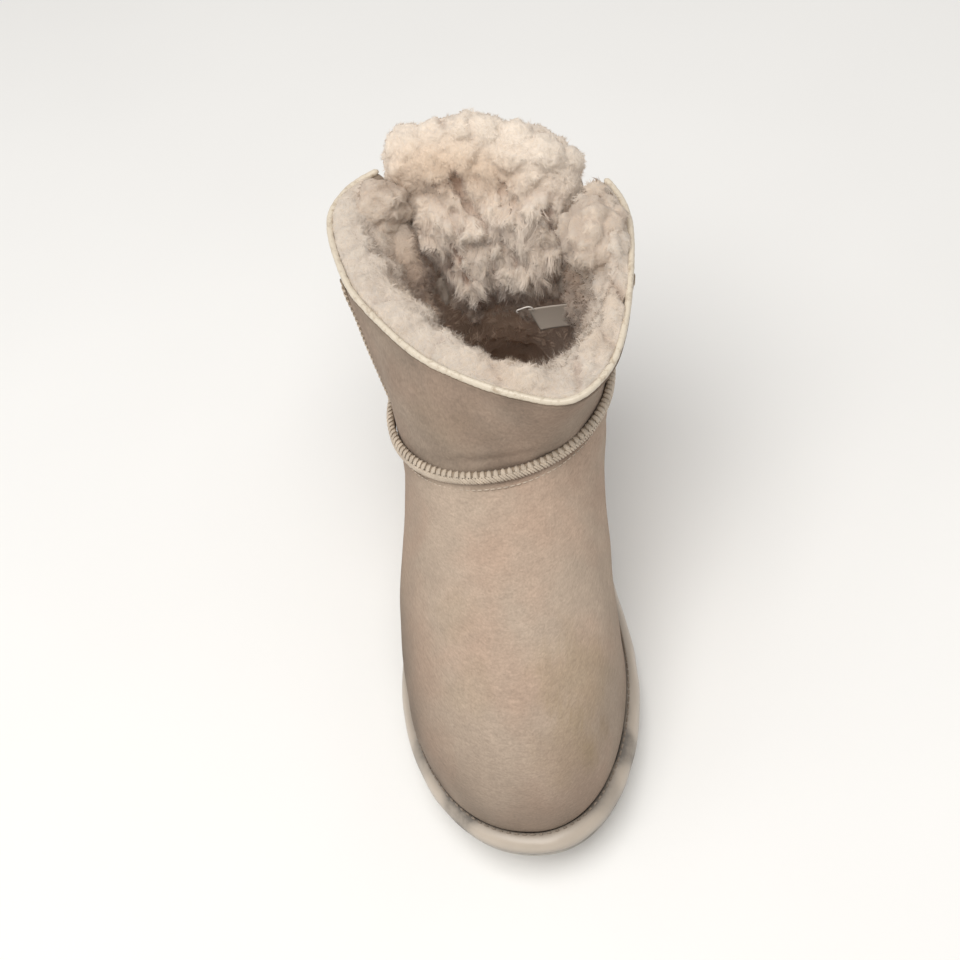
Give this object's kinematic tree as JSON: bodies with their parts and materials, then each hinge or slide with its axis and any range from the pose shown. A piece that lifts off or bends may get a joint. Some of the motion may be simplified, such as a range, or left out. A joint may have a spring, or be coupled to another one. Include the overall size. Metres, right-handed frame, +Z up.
{
  "type": "sheepskin ankle boot, right foot",
  "caption": "Short pull-on sheepskin boot for the right foot, with a flared fleece collar slit beside its back panel, a wrapped rand and a foam sole.",
  "frame": {"origin": "on the floor, at the middle of the heel's tread, 34 mm in front of the sole's back end", "axes": "-Y towards the toe, +X towards the inner side of the foot, +Z up"},
  "size_m": [0.1358, 0.2737, 0.1907],
  "materials": {
    "foam_sole": "moulded pale foam, matt",
    "satin_rand": "satin coated leather strip, scuffed",
    "insole_pile": "short sheepskin pile, trodden",
    "suede": "sheepskin suede, napped, lightly soiled",
    "seam_thread": "overlocked seam in cream thread",
    "binding": "glossy cream binding",
    "short_pile": "dense short sheepskin pile",
    "curly_pile": "deep curly sheepskin pile"
  },
  "bodies": {
    "root": {"outsole": "foam_sole", "rand": "satin_rand", "insole": "insole_pile", "upper": "suede", "ankle_seam": "seam_thread", "side_seam_outer": "seam_thread", "side_seam_inner": "seam_thread", "collar_binding": "binding", "front_fleece": "short_pile", "back_fleece": "curly_pile"}
  },
  "joints": []
}
